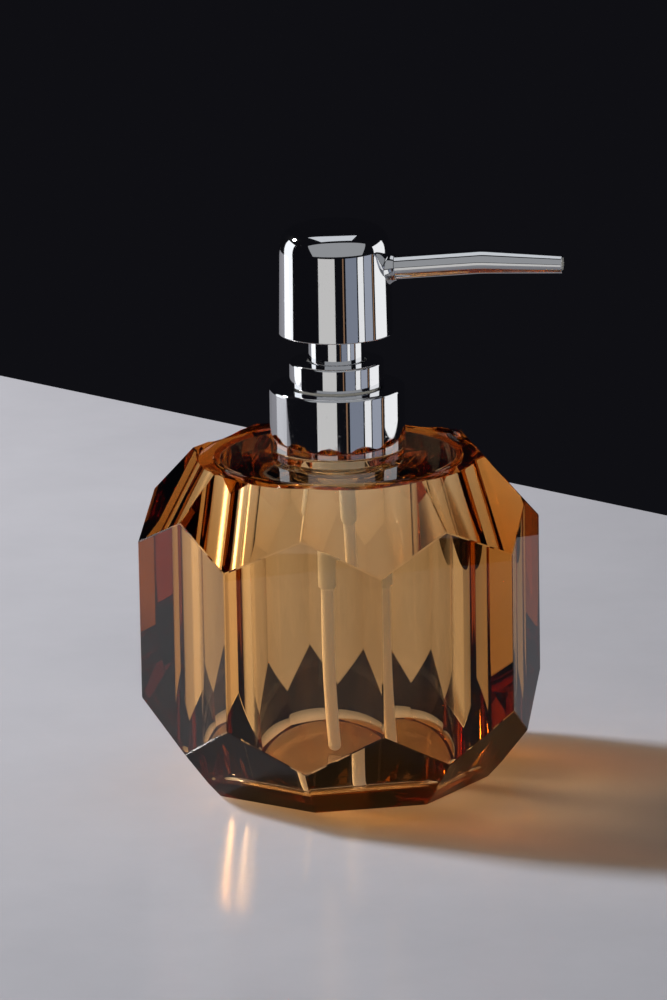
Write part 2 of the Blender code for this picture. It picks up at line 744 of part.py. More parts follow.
def make_head_core():
    """The plastic actuator inside the shell: a boss for the stem and a passage to the nozzle."""
    boss_low_z = core_low_z - CORE_BOSS_H
    channel_z = head_low_z + NOZZLE_ROOT_UP
    bore_top_z = channel_z - STEM_BORE_R
    profile = [
        (0, core_top_z),
        (core_r, core_top_z),
        (core_r, core_low_z),
        (core_boss_r, core_low_z),
        (core_boss_r, boss_low_z),
        (stem_hole_r, boss_low_z),
        (stem_hole_r, stem_top_z + CLEARANCE),
        (STEM_BORE_R, stem_top_z + CLEARANCE),
        (STEM_BORE_R, bore_top_z),
        (0, bore_top_z),
    ]
    core = turned("head_core", profile, STEPS_MEDIUM, plastic_white, head, closed=False)
    socket_out = NOZZLE_ROOT_OUT - CLEARANCE
    socket = side_bore("core_socket", socket_out, core_r + OVERSHOOT, nozzle_hole_r)
    boolean(core, socket, "DIFFERENCE")
    channel = side_bore("core_channel", -CORE_CHANNEL_R, socket_out + 1, CORE_CHANNEL_R)
    boolean(core, channel, "DIFFERENCE")


def make_nozzle_boss():
    """The flared ring that dresses the hole where the nozzle leaves the head."""
    seat_r = head_low_r + CLEARANCE
    out = seat_r + BOSS_OUT
    mesh = swept("nozzle_boss", nozzle_line(core_r, out), [BOSS_LOW_R, BOSS_TOP_R])
    boss = place("nozzle_boss", mesh, chrome, head)
    column = [(0, head_top_z), (seat_r, head_top_z), (seat_r, head_low_z), (0, head_low_z)]
    saddle = as_cutter(turned("boss_saddle", column, SADDLE_STEPS, chrome, head, closed=False))
    saddle.rotation_euler.z = math.pi / SADDLE_STEPS
    boolean(boss, saddle, "DIFFERENCE")
    boolean(boss, side_bore("boss_bore", core_r - OVERSHOOT, out + OVERSHOOT, nozzle_hole_r), "DIFFERENCE")


def make_nozzle():
    """The bent metal tube and the plastic liner that carries the soap through it."""
    tube_mesh = nozzle_rod("nozzle_tube", NOZZLE_ROOT_OUT, NOZZLE_TIP_OUT, 0)
    tube = place("nozzle_tube", tube_mesh, chrome, head)
    bore_mesh = nozzle_rod("nozzle_bore", NOZZLE_ROOT_OUT - OVERSHOOT, NOZZLE_TIP_OUT + OVERSHOOT, NOZZLE_WALL)
    boolean(tube, as_cutter(place("nozzle_bore", bore_mesh, chrome, head)), "DIFFERENCE")
    liner_inset = NOZZLE_WALL + CLEARANCE
    liner_end = NOZZLE_TIP_OUT - NOZZLE_LINER_INSET
    liner_mesh = nozzle_rod("nozzle_liner", NOZZLE_ROOT_OUT, liner_end, liner_inset)
    liner = place("nozzle_liner", liner_mesh, plastic_clear, head)
    bore_inset = liner_inset + NOZZLE_LINER_WALL
    bore_mesh = nozzle_rod("liner_bore", NOZZLE_ROOT_OUT - OVERSHOOT, liner_end + OVERSHOOT, bore_inset)
    boolean(liner, as_cutter(place("liner_bore", bore_mesh, plastic_clear, head)), "DIFFERENCE")


def body_empty(name):
    """The empty on the pump's axis that carries one moving body."""
    empty = bpy.data.objects.new(name, None)
    empty.empty_display_size = 10 * MM
    parts.objects.link(empty)
    return empty


clear_scene()
parts = new_collection("soap_pump_dispenser")
cutters = new_collection("cutters", hidden=True)

amber = material("amber_clear", (0.80, 0.47, 0.20), 0.02, transmission=1.0)
chrome = material("polished_chrome", (0.82, 0.83, 0.85), 0.05, metallic=1.0)
steel = material("spring_steel", (0.55, 0.56, 0.57), 0.3, metallic=1.0)
plastic_white = material("white_plastic", (0.86, 0.84, 0.78), 0.4)
plastic_clear = material("milky_plastic", (0.88, 0.86, 0.80), 0.3, transmission=0.3)
rubber = material("seal_rubber", (0.75, 0.74, 0.70), 0.6)

pump_body = body_empty("pump_body_carrier")
closure = body_empty("closure_carrier")
plunger = body_empty("plunger_carrier")
head = body_empty("head_carrier")
head.rotation_euler.z = math.radians(HEAD_TURN_DEG)

make_bottle()
make_neck_plate()
make_collar()
make_thread_liner()
make_gasket()
make_housing()
make_chaplet()
make_guide_cover()
make_ball_retainer()
sphere("inlet_ball", INLET_BALL_R, inlet_ball_z, steel, pump_body)
make_spring()
make_dip_tube()
make_piston()
make_stem()
sphere("outlet_ball", OUTLET_BALL_R, outlet_ball_z, steel, head)
make_sleeve()
make_head_shell()
make_head_core()
make_nozzle_boss()
make_nozzle()
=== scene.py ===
import math

import bmesh
import bpy
from mathutils import Matrix, Vector


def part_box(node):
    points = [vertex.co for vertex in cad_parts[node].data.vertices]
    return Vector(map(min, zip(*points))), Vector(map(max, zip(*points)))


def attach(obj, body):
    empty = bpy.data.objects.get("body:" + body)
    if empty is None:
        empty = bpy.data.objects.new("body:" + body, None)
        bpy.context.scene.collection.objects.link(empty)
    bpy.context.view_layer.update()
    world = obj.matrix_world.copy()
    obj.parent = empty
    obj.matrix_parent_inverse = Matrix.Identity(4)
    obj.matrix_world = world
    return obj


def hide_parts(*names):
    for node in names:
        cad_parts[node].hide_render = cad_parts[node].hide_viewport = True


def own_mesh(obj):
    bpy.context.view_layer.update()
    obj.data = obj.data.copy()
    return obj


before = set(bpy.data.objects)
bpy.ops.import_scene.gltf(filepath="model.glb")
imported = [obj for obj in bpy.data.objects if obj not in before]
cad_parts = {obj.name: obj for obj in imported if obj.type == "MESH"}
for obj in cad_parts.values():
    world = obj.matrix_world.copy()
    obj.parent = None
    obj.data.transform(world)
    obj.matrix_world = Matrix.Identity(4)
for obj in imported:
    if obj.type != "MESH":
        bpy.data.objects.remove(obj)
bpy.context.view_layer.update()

scene = bpy.context.scene

# ---------------------------------------------------------------------------
# Bottle. One thick block of clear amber acrylic, sawn to an octagon and polished
# into three rows of facets, bored out from above. The round plate that closes it,
# with the ledge, the raised centre and the threaded neck, is bonded in without a seam.
# ---------------------------------------------------------------------------
MM = 0.001
BLOCK_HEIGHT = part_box("faceted_bottle")[1].z / MM
NECK_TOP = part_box("neck_plate")[1].z / MM
PLATE_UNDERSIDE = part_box("neck_plate")[0].z / MM
BELT_CORNER = 50.0
FACET_ROWS = (
    # (radius, height) of each row's lower and upper edge, at the middle of a facet
    ((BELT_CORNER, 61.9), (33.445, BLOCK_HEIGHT)),
    ((36.678, 4.0), (BELT_CORNER, 19.9)),
    ((33.814, 0.0), (36.678, 4.0)),
)
FACET_ARRIS = 0.22
MOUTH_RADIUS = 34.3
LEDGE_HEIGHT = 80.0
RESERVOIR_RADIUS = 28.8
RESERVOIR_FLOOR = 6.8
RESERVOIR_CORNER = 3.4
PLATE_LOW = 79.0
PLATEAU_RADIUS = 30.6
PLATEAU_HEIGHT = 80.8
SHOULDER_RADIUS = 16.3
SHOULDER_HEIGHT = 82.55
NECK_RADIUS = 12.7
NECK_BORE = 9.6
THREAD_RISE = 4.233
THREAD_START = 84.35
THREAD_TURNS = 1.488
THREAD_CREST = 13.6
CUTTER_SPARE = 5  # how far a cutter stands out of the face that it opens


def softened(outline, closed=True, steps=4):
    """Rounds the corners of an outline of (radius, height, corner radius) points."""
    rounded = []
    count = len(outline)
    for index, (radius, height, soft) in enumerate(outline):
        here = Vector((radius, height))
        before = Vector(outline[index - 1][:2]) - here
        after = Vector(outline[(index + 1) % count][:2]) - here
        at_end = not closed and index in (0, count - 1)
        reach = min(soft, before.length * 0.48, after.length * 0.48)
        if at_end or reach <= 0:
            rounded.append(tuple(here))
            continue
        start = here + before.normalized() * reach
        end = here + after.normalized() * reach
        for step in range(steps + 1):
            share = step / steps
            rounded.append(tuple(start.lerp(here, share).lerp(here.lerp(end, share), share)))
    return rounded


def shown(name, bm, material=None, crisp=28):
    """Makes a finished mesh from a bmesh, smooth but for its crisp edges."""
    bmesh.ops.remove_doubles(bm, verts=bm.verts[:], dist=1e-7)
    bmesh.ops.recalc_face_normals(bm, faces=bm.faces[:])
    mesh = bpy.data.meshes.new(name)
    bm.to_mesh(mesh)
    bm.free()
    mesh.shade_smooth()
    mesh.set_sharp_from_angle(angle=math.radians(crisp))
    piece = bpy.data.objects.new(name, mesh)
    scene.collection.objects.link(piece)
    if material:
        mesh.materials.append(material)
    return piece


def turned(outline, sides=128, steps=4):
    """A round body spun on the pump's axis from (radius, height, corner radius) points."""
    closed = outline[0][0] > 0 or outline[-1][0] > 0
    line = softened(outline, closed, steps)
    bm = bmesh.new()
    spots = [bm.verts.new((radius * MM, 0, height * MM)) for radius, height in line]
    edges = [bm.edges.new(pair) for pair in zip(spots, spots[1:])]
    if closed:
        edges.append(bm.edges.new((spots[-1], spots[0])))
    bmesh.ops.spin(
        bm,
        geom=[*spots, *edges],
        cent=(0, 0, 0),
        axis=(0, 0, 1),
        angle=2 * math.pi,
        steps=sides,
        use_merge=True,
    )
    bmesh.ops.remove_doubles(bm, verts=bm.verts[:], dist=1e-7)
    return bm


def worked(piece, tool, operation):
    """Cuts or joins one body with another for good, and clears the tool away."""
    change = piece.modifiers.new("Work", "BOOLEAN")
    change.operation = operation
    change.solver = "EXACT"
    change.object = tool
    graph = bpy.context.evaluated_depsgraph_get()
    mesh = bpy.data.meshes.new_from_object(piece.evaluated_get(graph))
    piece.modifiers.clear()
    piece.data = mesh
    bpy.data.objects.remove(tool)
    return piece


def even_shading(piece):
    """Lets broad faces set the shading, so that flats stay flat beside their rounded edges."""
    weigh = piece.modifiers.new("Even shading", "WEIGHTED_NORMAL")
    weigh.keep_sharp = True
    return piece


def screw_ridge(name, sunk=0.4, root_half=1.3, crest_half=0.5):
    """The moulded thread: its section is spun up the neck, one rise to each turn."""
    bm = bmesh.new()
    section = [
        bm.verts.new((radius * MM, 0, (THREAD_START + lift) * MM))
        for radius, lift in (
            (NECK_RADIUS - sunk, -root_half),
            (THREAD_CREST, -crest_half),
            (THREAD_CREST, crest_half),
            (NECK_RADIUS - sunk, root_half),
        )
    ]
    face = bm.faces.new(section)
    steps = round(96 * THREAD_TURNS)
    bmesh.ops.spin(
        bm,
        geom=[face, *face.edges, *face.verts],
        cent=(0, 0, 0),
        axis=(0, 0, 1),
        dvec=(0, 0, THREAD_RISE * THREAD_TURNS / steps * MM),
        angle=2 * math.pi * THREAD_TURNS,
        steps=steps,
    )
    return shown(name, bm)


def new_group(name, inputs, outputs):
    """An empty shader node group with named float, colour or vector sockets."""
    group = bpy.data.node_groups.new(name, "ShaderNodeTree")
    for label, kind, default in inputs:
        made = group.interface.new_socket(label, in_out="INPUT", socket_type=kind)
        if default is not None:
            made.default_value = default
    for label, kind in outputs:
        group.interface.new_socket(label, in_out="OUTPUT", socket_type=kind)
    nodes = group.nodes
    return group, nodes.new("NodeGroupInput"), nodes.new("NodeGroupOutput")


def polish_wear_group():
    """Handling marks on a polished face: smears and scuffs that dull it, and a slow ripple."""
    group, given, wanted = new_group(
        "polish_wear",
        (
            ("Clean Roughness", "NodeSocketFloat", 0.02),
            ("Smear", "NodeSocketFloat", 0.05),
            ("Scuff", "NodeSocketFloat", 0.1),
            ("Ripple Size", "NodeSocketFloat", 60.0),
            ("Ripple Depth", "NodeSocketFloat", 0.00001),
        ),
        (("Roughness", "NodeSocketFloat"), ("Mask", "NodeSocketFloat"), ("Normal", "NodeSocketVector")),
    )
    nodes, links = group.nodes, group.links
    place = nodes.new("ShaderNodeTexCoord")
    broad = nodes.new("ShaderNodeTexNoise")
    broad.inputs["Scale"].default_value = 55
    broad.inputs["Detail"].default_value = 4
    broad.inputs["Distortion"].default_value = 0.8
    broad_ramp = nodes.new("ShaderNodeMapRange")
    broad_ramp.inputs["From Min"].default_value = 0.45
    broad_ramp.inputs["From Max"].default_value = 0.75
    fine = nodes.new("ShaderNodeTexNoise")
    fine.inputs["Scale"].default_value = 900
    fine.inputs["Detail"].default_value = 6
    fine_ramp = nodes.new("ShaderNodeMapRange")
    fine_ramp.inputs["From Min"].default_value = 0.62
    fine_ramp.inputs["From Max"].default_value = 0.75
    smear = nodes.new("ShaderNodeMath")
    smear.operation = "MULTIPLY"
    scuff = nodes.new("ShaderNodeMath")
    scuff.operation = "MULTIPLY"
    total = nodes.new("ShaderNodeMath")
    total.operation = "ADD"
    rough = nodes.new("ShaderNodeMath")
    rough.operation = "ADD"
    upright = nodes.new("ShaderNodeMapping")
    upright.inputs["Scale"].default_value = (1, 1, 0.22)
    ripple = nodes.new("ShaderNodeTexNoise")
    ripple.inputs["Detail"].default_value = 1
    bump = nodes.new("ShaderNodeBump")
    bump.inputs["Strength"].default_value = 1
    for texture in (broad, fine, upright):
        links.new(place.outputs["Object"], texture.inputs["Vector"])
    links.new(upright.outputs["Vector"], ripple.inputs["Vector"])
    links.new(broad.outputs["Fac"], broad_ramp.inputs["Value"])
    links.new(fine.outputs["Fac"], fine_ramp.inputs["Value"])
    links.new(broad_ramp.outputs["Result"], smear.inputs[0])
    links.new(given.outputs["Smear"], smear.inputs[1])
    links.new(fine_ramp.outputs["Result"], scuff.inputs[0])
    links.new(given.outputs["Scuff"], scuff.inputs[1])
    links.new(smear.outputs[0], total.inputs[0])
    links.new(scuff.outputs[0], total.inputs[1])
    links.new(total.outputs[0], rough.inputs[0])
    links.new(given.outputs["Clean Roughness"], rough.inputs[1])
    links.new(given.outputs["Ripple Size"], ripple.inputs["Scale"])
    links.new(ripple.outputs["Fac"], bump.inputs["Height"])
    links.new(given.outputs["Ripple Depth"], bump.inputs["Distance"])
    links.new(rough.outputs[0], wanted.inputs["Roughness"])
    links.new(total.outputs[0], wanted.inputs["Mask"])
    links.new(bump.outputs["Normal"], wanted.inputs["Normal"])
    return group


polish_wear = polish_wear_group()


def finish_of(name):
    """A new material with its shader, ready for wear or grain to be linked in."""
    material = bpy.data.materials.new(name)
    material.use_nodes = True
    nodes = material.node_tree.nodes
    return material, nodes, material.node_tree.links, nodes["Principled BSDF"]


def add_wear(nodes, links, shader, **amounts):
    """Places the polish wear group in a material with this piece's own amounts."""
    wear = nodes.new("ShaderNodeGroup")
    wear.node_tree = polish_wear
    for label, amount in amounts.items():
        wear.inputs[label.replace("_", " ").title()].default_value = amount
    links.new(wear.outputs["Roughness"], shader.inputs["Roughness"])
    links.new(wear.outputs["Normal"], shader.inputs["Normal"])
    return wear


def amber_acrylic():
    """Clear amber that deepens with the thickness; lamp rays pass it dimmed, to light its shadow."""
    material, nodes, links, shader = finish_of("amber_acrylic")
    shader.inputs["Transmission Weight"].default_value = 1.0
    shader.inputs["IOR"].default_value = 1.5
    tint = nodes.new("ShaderNodeMix")
    tint.data_type = "RGBA"
    tint.inputs["A"].default_value = (0.985, 0.935, 0.85, 1)
    tint.inputs["B"].default_value = (0.93, 0.86, 0.76, 1)
    wear = add_wear(
        nodes,
        links,
        shader,
        clean_roughness=0.0,
        smear=0.002,
        scuff=0.004,
        ripple_size=70,
        ripple_depth=0.000014,
    )
    links.new(wear.outputs["Mask"], tint.inputs["Factor"])
    links.new(tint.outputs["Result"], shader.inputs["Base Color"])
    body = nodes.new("ShaderNodeVolumeAbsorption")
    body.inputs["Color"].default_value = (0.86, 0.59, 0.12, 1)
    body.inputs["Density"].default_value = 50
    links.new(body.outputs["Volume"], nodes["Material Output"].inputs["Volume"])
    ray = nodes.new("ShaderNodeLightPath")
    lets_through = nodes.new("ShaderNodeBsdfTransparent")
    lets_through.inputs["Color"].default_value = (0.56, 0.55, 0.54, 1)
    chosen = nodes.new("ShaderNodeMixShader")
    links.new(ray.outputs["Is Shadow Ray"], chosen.inputs["Fac"])
    links.new(shader.outputs["BSDF"], chosen.inputs[1])
    links.new(lets_through.outputs["BSDF"], chosen.inputs[2])
    links.new(chosen.outputs["Shader"], nodes["Material Output"].inputs["Surface"])
    return material


def faceted_block():
    """An eight-sided column with its upper, lower and foot facets sliced off between its corners."""
    bm = bmesh.new()
    bmesh.ops.create_cone(
        bm,
        cap_ends=True,
        segments=8,
        radius1=BELT_CORNER * MM,
        radius2=BELT_CORNER * MM,
        depth=BLOCK_HEIGHT * MM,
        matrix=Matrix.Translation((0, 0, BLOCK_HEIGHT / 2 * MM)) @ Matrix.Rotation(math.pi / 8, 4, "Z"),
    )
    for side in range(8):
        bearing = (side + 0.5) * math.pi / 4
        for low, high in FACET_ROWS:
            slope = Vector((high[0] - low[0], high[1] - low[1])).normalized()
            across = Vector((math.cos(bearing), math.sin(bearing), 0))
            out = across * slope.y - Vector((0, 0, slope.x))
            on_plane = (across * high[0] + Vector((0, 0, high[1]))) * MM
            cut = bmesh.ops.bisect_plane(
                bm,
                geom=[*bm.verts, *bm.edges, *bm.faces],
                dist=1e-7,
                plane_co=on_plane,
                plane_no=out,
                clear_outer=True,
            )
            rim = [item for item in cut["geom_cut"] if isinstance(item, bmesh.types.BMEdge)]
            bmesh.ops.contextual_create(bm, geom=rim)
    bmesh.ops.bevel(
        bm,
        geom=bm.edges[:],
        offset=FACET_ARRIS * MM,
        offset_type="OFFSET",
        affect="EDGES",
        segments=1,
        profile=0.5,
        material=-1,
    )
    return bm


amber = amber_acrylic()
bottle = shown("bottle_amber_block", faceted_block(), amber)
mouth = [
    (0, BLOCK_HEIGHT + CUTTER_SPARE, 0),
    (MOUTH_RADIUS, BLOCK_HEIGHT + CUTTER_SPARE, 0),
    (MOUTH_RADIUS, LEDGE_HEIGHT, 0.3),
    (0, LEDGE_HEIGHT, 0),
]
worked(bottle, shown("mouth_cutter", turned(mouth)), "DIFFERENCE")
centre = [
    (0, NECK_TOP, 0),
    (NECK_RADIUS, NECK_TOP, 0.3),
    (NECK_RADIUS, SHOULDER_HEIGHT, 0.3),
    (SHOULDER_RADIUS, SHOULDER_HEIGHT, 0.25),
    (SHOULDER_RADIUS, PLATEAU_HEIGHT, 0.25),
    (PLATEAU_RADIUS, PLATEAU_HEIGHT, 0.6),
    (PLATEAU_RADIUS, PLATE_LOW, 0),
    (0, PLATE_LOW, 0),
]
worked(bottle, shown("plate_centre", turned(centre)), "UNION")
worked(bottle, screw_ridge("neck_thread"), "UNION")
reservoir = [
    (0, NECK_TOP + CUTTER_SPARE, 0),
    (NECK_BORE, NECK_TOP + CUTTER_SPARE, 0),
    (NECK_BORE, PLATE_UNDERSIDE, 0),
    (RESERVOIR_RADIUS, PLATE_UNDERSIDE, 0.3),
    (RESERVOIR_RADIUS, RESERVOIR_FLOOR, RESERVOIR_CORNER),
    (0, RESERVOIR_FLOOR, 0),
]
worked(bottle, shown("reservoir_cutter", turned(reservoir, steps=10)), "DIFFERENCE")
bottle.data.materials.clear()
bottle.data.materials.append(amber)
bottle.data.set_sharp_from_angle(angle=math.radians(12))
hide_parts("faceted_bottle", "neck_plate")
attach(bottle, "bottle")

# ---------------------------------------------------------------------------
# Dip tube. Extruded creamy polyethylene, pushed up into the housing's socket. It was
# cut from a coil, so its free end still leans, and the cut is on the slant.
# ---------------------------------------------------------------------------
tube_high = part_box("dip_tube")[1] / MM
TUBE_RADIUS = 2.4
TUBE_BORE = 1.75
TUBE_LEAN = (1.9, 0.5)
TUBE_SLANT = math.radians(20)
TUBE_FOOT = 7.4  # height of the cut end's middle
TUBE_STRAIGHT = 0.4  # share of the length before it leans


def drawn(rings, sides=48):
    """A hollow body drawn ring by ring; each ring is (centre in millimetres, direction, radius)."""
    bm = bmesh.new()
    bmesh.ops.create_circle(bm, segments=sides, radius=1.0)
    edges = bm.edges[:]
    verts = bm.verts[:]
    first = edges
    placed = Matrix.Identity(4)
    for index, (middle, direction, radius) in enumerate(rings):
        turn = Vector((0, 0, 1)).rotation_difference(Vector(direction)).to_matrix().to_4x4()
        target = Matrix.Translation(Vector(middle) * MM) @ turn @ Matrix.Scale(radius * MM, 4)
        if index:
            grown = bmesh.ops.extrude_edge_only(bm, edges=edges)["geom"]
            verts = [item for item in grown if isinstance(item, bmesh.types.BMVert)]
            ring = set(verts)
            grown_edges = [item for item in grown if isinstance(item, bmesh.types.BMEdge)]
            edges = [edge for edge in grown_edges if ring.issuperset(edge.verts)]
        bmesh.ops.transform(bm, matrix=target @ placed.inverted(), verts=verts)
        placed = target
    bmesh.ops.bridge_loops(bm, edges=[*first, *edges])
    return bm


def tube_station(share):
    """Centre and direction of the dip tube, from its top at 0 to its slanted foot at 1."""
    drop = TUBE_FOOT - tube_high.z
    bend = max(0.0, share - TUBE_STRAIGHT) / (1 - TUBE_STRAIGHT)
    height = tube_high.z + drop * share
    slant = 2 * bend / (1 - TUBE_STRAIGHT) / drop
    return (
        (TUBE_LEAN[0] * bend**2, TUBE_LEAN[1] * bend**2, height),
        (TUBE_LEAN[0] * slant, TUBE_LEAN[1] * slant, 1),
    )


def moulded_plastic(name, colour, roughness, through=0.0, grain=0.00001, glow=0.0):
    """Moulded or extruded plastic: faint cloudiness in its colour, flow marks in its gloss.
    Glow is painted light: an emission that stands in for the light that a thin milky wall scatters from
    its far side."""
    material, nodes, links, shader = finish_of(name)
    place = nodes.new("ShaderNodeTexCoord")
    stretch = nodes.new("ShaderNodeMapping")
    stretch.inputs["Scale"].default_value = (1, 1, 0.25)
    cloud = nodes.new("ShaderNodeTexNoise")
    cloud.inputs["Scale"].default_value = 240
    cloud.inputs["Detail"].default_value = 5
    shade = nodes.new("ShaderNodeMix")
    shade.data_type = "RGBA"
    shade.inputs["A"].default_value = (*(part * 0.9 for part in colour), 1)
    shade.inputs["B"].default_value = (*colour, 1)
    gloss = nodes.new("ShaderNodeMapRange")
    gloss.inputs["To Min"].default_value = roughness * 0.75
    gloss.inputs["To Max"].default_value = roughness * 1.25
    bump = nodes.new("ShaderNodeBump")
    bump.inputs["Distance"].default_value = grain
    links.new(place.outputs["Object"], stretch.inputs["Vector"])
    links.new(stretch.outputs["Vector"], cloud.inputs["Vector"])
    links.new(cloud.outputs["Fac"], shade.inputs["Factor"])
    links.new(cloud.outputs["Fac"], gloss.inputs["Value"])
    links.new(cloud.outputs["Fac"], bump.inputs["Height"])
    links.new(shade.outputs["Result"], shader.inputs["Base Color"])
    links.new(shade.outputs["Result"], shader.inputs["Emission Color"])
    links.new(gloss.outputs["Result"], shader.inputs["Roughness"])
    links.new(bump.outputs["Normal"], shader.inputs["Normal"])
    # Painted light: the plastic glows with its own colour at this strength.
    shader.inputs["Emission Strength"].default_value = glow
    shader.inputs["Transmission Weight"].default_value = through
    shader.inputs["IOR"].default_value = 1.5
    return material


# The dip tube's glow is painted light.
cream_tube = moulded_plastic("cream_polyethylene", (0.95, 0.93, 0.88), 0.38, glow=0.16)
stations = [tube_station(step / 30) for step in range(31)]
walls = [(middle, direction, TUBE_RADIUS) for middle, direction in stations]
walls += [(middle, direction, TUBE_BORE) for middle, direction in reversed(stations)]
dip_tube = shown("dip_tube_cream", drawn(walls), cream_tube)
slant_cut = bmesh.new()
bmesh.ops.create_cube(slant_cut, size=0.02)
bmesh.ops.translate(slant_cut, verts=slant_cut.verts[:], vec=(0, 0, -0.01))
bmesh.ops.rotate(slant_cut, verts=slant_cut.verts[:], matrix=Matrix.Rotation(TUBE_SLANT, 3, "X"))
foot = Vector((*TUBE_LEAN, TUBE_FOOT + TUBE_RADIUS * math.tan(TUBE_SLANT))) * MM
bmesh.ops.translate(slant_cut, verts=slant_cut.verts[:], vec=foot)
worked(dip_tube, shown("slant_cutter", slant_cut), "DIFFERENCE")
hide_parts("dip_tube")
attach(dip_tube, "pump_body")

# ---------------------------------------------------------------------------
# Pump housing. A milky polypropylene moulding: the cup and flange that the closure clamps,
# the barrel that the piston runs in, the ball seat and the socket that grips the dip tube.
# ---------------------------------------------------------------------------
# The housing's glow is painted light.
milky = moulded_plastic("milky_polypropylene", (0.9, 0.88, 0.82), 0.3, through=0.35, glow=0.08)
housing_low, housing_high = (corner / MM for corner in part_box("pump_housing"))
housing_outline = [
    (9.2, housing_high.z, 0.2),
    (9.2, 95.65, 0.2),
    (12.5, 95.65, 0.3),
    (12.5, 94.25, 0.3),
    (9.2, 94.25, 0.2),
    (9.2, 87.35, 0.8),
    (6.5, 86.25, 0.5),
    (6.5, 62.5, 0.6),
    (3.4, 59.0, 0.5),
    (3.4, housing_low.z, 0.3),
    (2.7, housing_low.z, 0.2),
    (2.7, 57.7, 0),
    (1.3, 57.7, 0),
    (1.3, 59.2, 0),
    (2.6, 60.5, 0),
    (2.6, 64.65, 0),
    (5.5, 64.65, 0),
    (5.5, 88.45, 0.2),
    (8.1, 88.45, 0.2),
    (8.1, housing_high.z, 0.2),
]
housing = even_shading(shown("pump_housing_milky", turned(housing_outline, 96), milky))
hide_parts("pump_housing")
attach(housing, "pump_body")

# ---------------------------------------------------------------------------
# Hidden pump works. Injection-moulded guide, seals, retainer, plunger stem and liners and ground
# steel balls, which keep their own solids, and a spring coiled from drawn steel wire.
# ---------------------------------------------------------------------------
white_plastic = moulded_plastic("white_polypropylene", (0.88, 0.87, 0.83), 0.42)
seal_rubber = moulded_plastic("seal_elastomer", (0.78, 0.77, 0.72), 0.6)


def drawn_steel():
    """Drawn or ground steel, with a satin lustre and fine scuffs."""
    material, nodes, links, shader = finish_of("drawn_steel")
    shader.inputs["Base Color"].default_value = (0.6, 0.61, 0.62, 1)
    shader.inputs["Metallic"].default_value = 1.0
    add_wear(
        nodes,
        links,
        shader,
        clean_roughness=0.18,
        smear=0.1,
        scuff=0.2,
        ripple_size=300,
        ripple_depth=0.000004,
    )
    return material


spring_steel = drawn_steel()
for finish, names in (
    (white_plastic, ("chaplet", "ball_retainer", "head_core", "thread_liner")),
    (milky, ("plunger_stem", "nozzle_liner")),
    (seal_rubber, ("neck_gasket", "piston_seal")),
    (spring_steel, ("inlet_ball", "outlet_ball", "return_spring")),
):
    for name in names:
        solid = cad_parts[name]
        solid.data.materials.clear()
        solid.data.materials.append(finish)

spring_low, spring_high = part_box("return_spring")
SPRING_TURNS = 7.0
SPRING_DEAD = 0.75  # turns of close coil at each end
COIL_RADIUS = 4.2
COIL_STEPS = 36  # rings to a turn
WIRE = 0.35
CLOSE_RISE = 2.2 * WIRE
spring_run = (spring_high.z - spring_low.z) / MM - 2 * WIRE
open_rise = (spring_run - 2 * SPRING_DEAD * CLOSE_RISE) / (SPRING_TURNS - 2 * SPRING_DEAD)


def spring_height(turn):
    """Height of the wire above its lowest turn: close end coils and even ones between them."""
    lower = min(turn, SPRING_DEAD)
    upper = max(0.0, turn - SPRING_TURNS + SPRING_DEAD)
    return (lower + upper) * CLOSE_RISE + (turn - lower - upper) * open_rise


def coiled_wire():
    """A round section drawn up the coil, ring by ring, with flat cut ends."""
    bm = bmesh.new()
    bmesh.ops.create_circle(bm, segments=12, radius=1.0, cap_ends=True)
    faces = bm.faces[:]
    verts = bm.verts[:]
    placed = Matrix.Identity(4)
    steps = round(SPRING_TURNS * COIL_STEPS)
    for index in range(steps + 1):
        turn = index / COIL_STEPS
        angle = 2 * math.pi * turn
        height = spring_low.z / MM + WIRE + spring_height(turn)
        middle = Vector((COIL_RADIUS * math.cos(angle), COIL_RADIUS * math.sin(angle), height))
        along = Matrix.Rotation(angle, 4, "Z") @ Matrix.Rotation(-math.pi / 2, 4, "X")
        target = Matrix.Translation(middle * MM) @ along @ Matrix.Scale(WIRE * MM, 4)
        if index:
            grown = bmesh.ops.extrude_face_region(bm, geom=faces)["geom"]
            faces = [item for item in grown if isinstance(item, bmesh.types.BMFace)]
            verts = [item for item in grown if isinstance(item, bmesh.types.BMVert)]
        bmesh.ops.transform(bm, matrix=target @ placed.inverted(), verts=verts)
        placed = target
    return bm


spring = shown("return_spring_wire", coiled_wire(), spring_steel)
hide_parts("return_spring")
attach(spring, "pump_body")
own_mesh(spring)

# ---------------------------------------------------------------------------
# Plated skins. The closure's shell, the guide's cover, the sleeve on the stem and the push head
# are drawn from thin metal, polished, then plated bright. Each is pressed over its plastic core.
# ---------------------------------------------------------------------------


def bright_plating(name, ripple_depth=0.00002):
    """Mirror plating on polished metal, greyer where it is smeared."""
    material, nodes, links, shader = finish_of(name)
    shader.inputs["Metallic"].default_value = 1.0
    tone = nodes.new("ShaderNodeMix")
    tone.data_type = "RGBA"
    tone.inputs["A"].default_value = (0.80, 0.81, 0.83, 1)
    tone.inputs["B"].default_value = (0.62, 0.63, 0.65, 1)
    wear = add_wear(
        nodes,
        links,
        shader,
        clean_roughness=0.025,
        smear=0.04,
        scuff=0.12,
        ripple_size=45,
        ripple_depth=ripple_depth,
    )
    links.new(wear.outputs["Mask"], tone.inputs["Factor"])
    links.new(tone.outputs["Result"], shader.inputs["Base Color"])
    return material


plating = bright_plating("bright_plating")
collar_low, collar_high = (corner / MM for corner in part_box("collar_shell"))
collar_outline = [
    (9.6, collar_high.z, 0.2),
    (16.5, collar_high.z, 0.8),
    (16.5, collar_low.z, 0.25),
    (15.9, collar_low.z, 0.15),
    (15.9, collar_high.z - 0.6, 0.3),
    (9.6, collar_high.z - 0.6, 0),
]
collar = even_shading(shown("closure_skin", turned(collar_outline, 160, 6), plating))
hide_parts("collar_shell")
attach(collar, "closure")

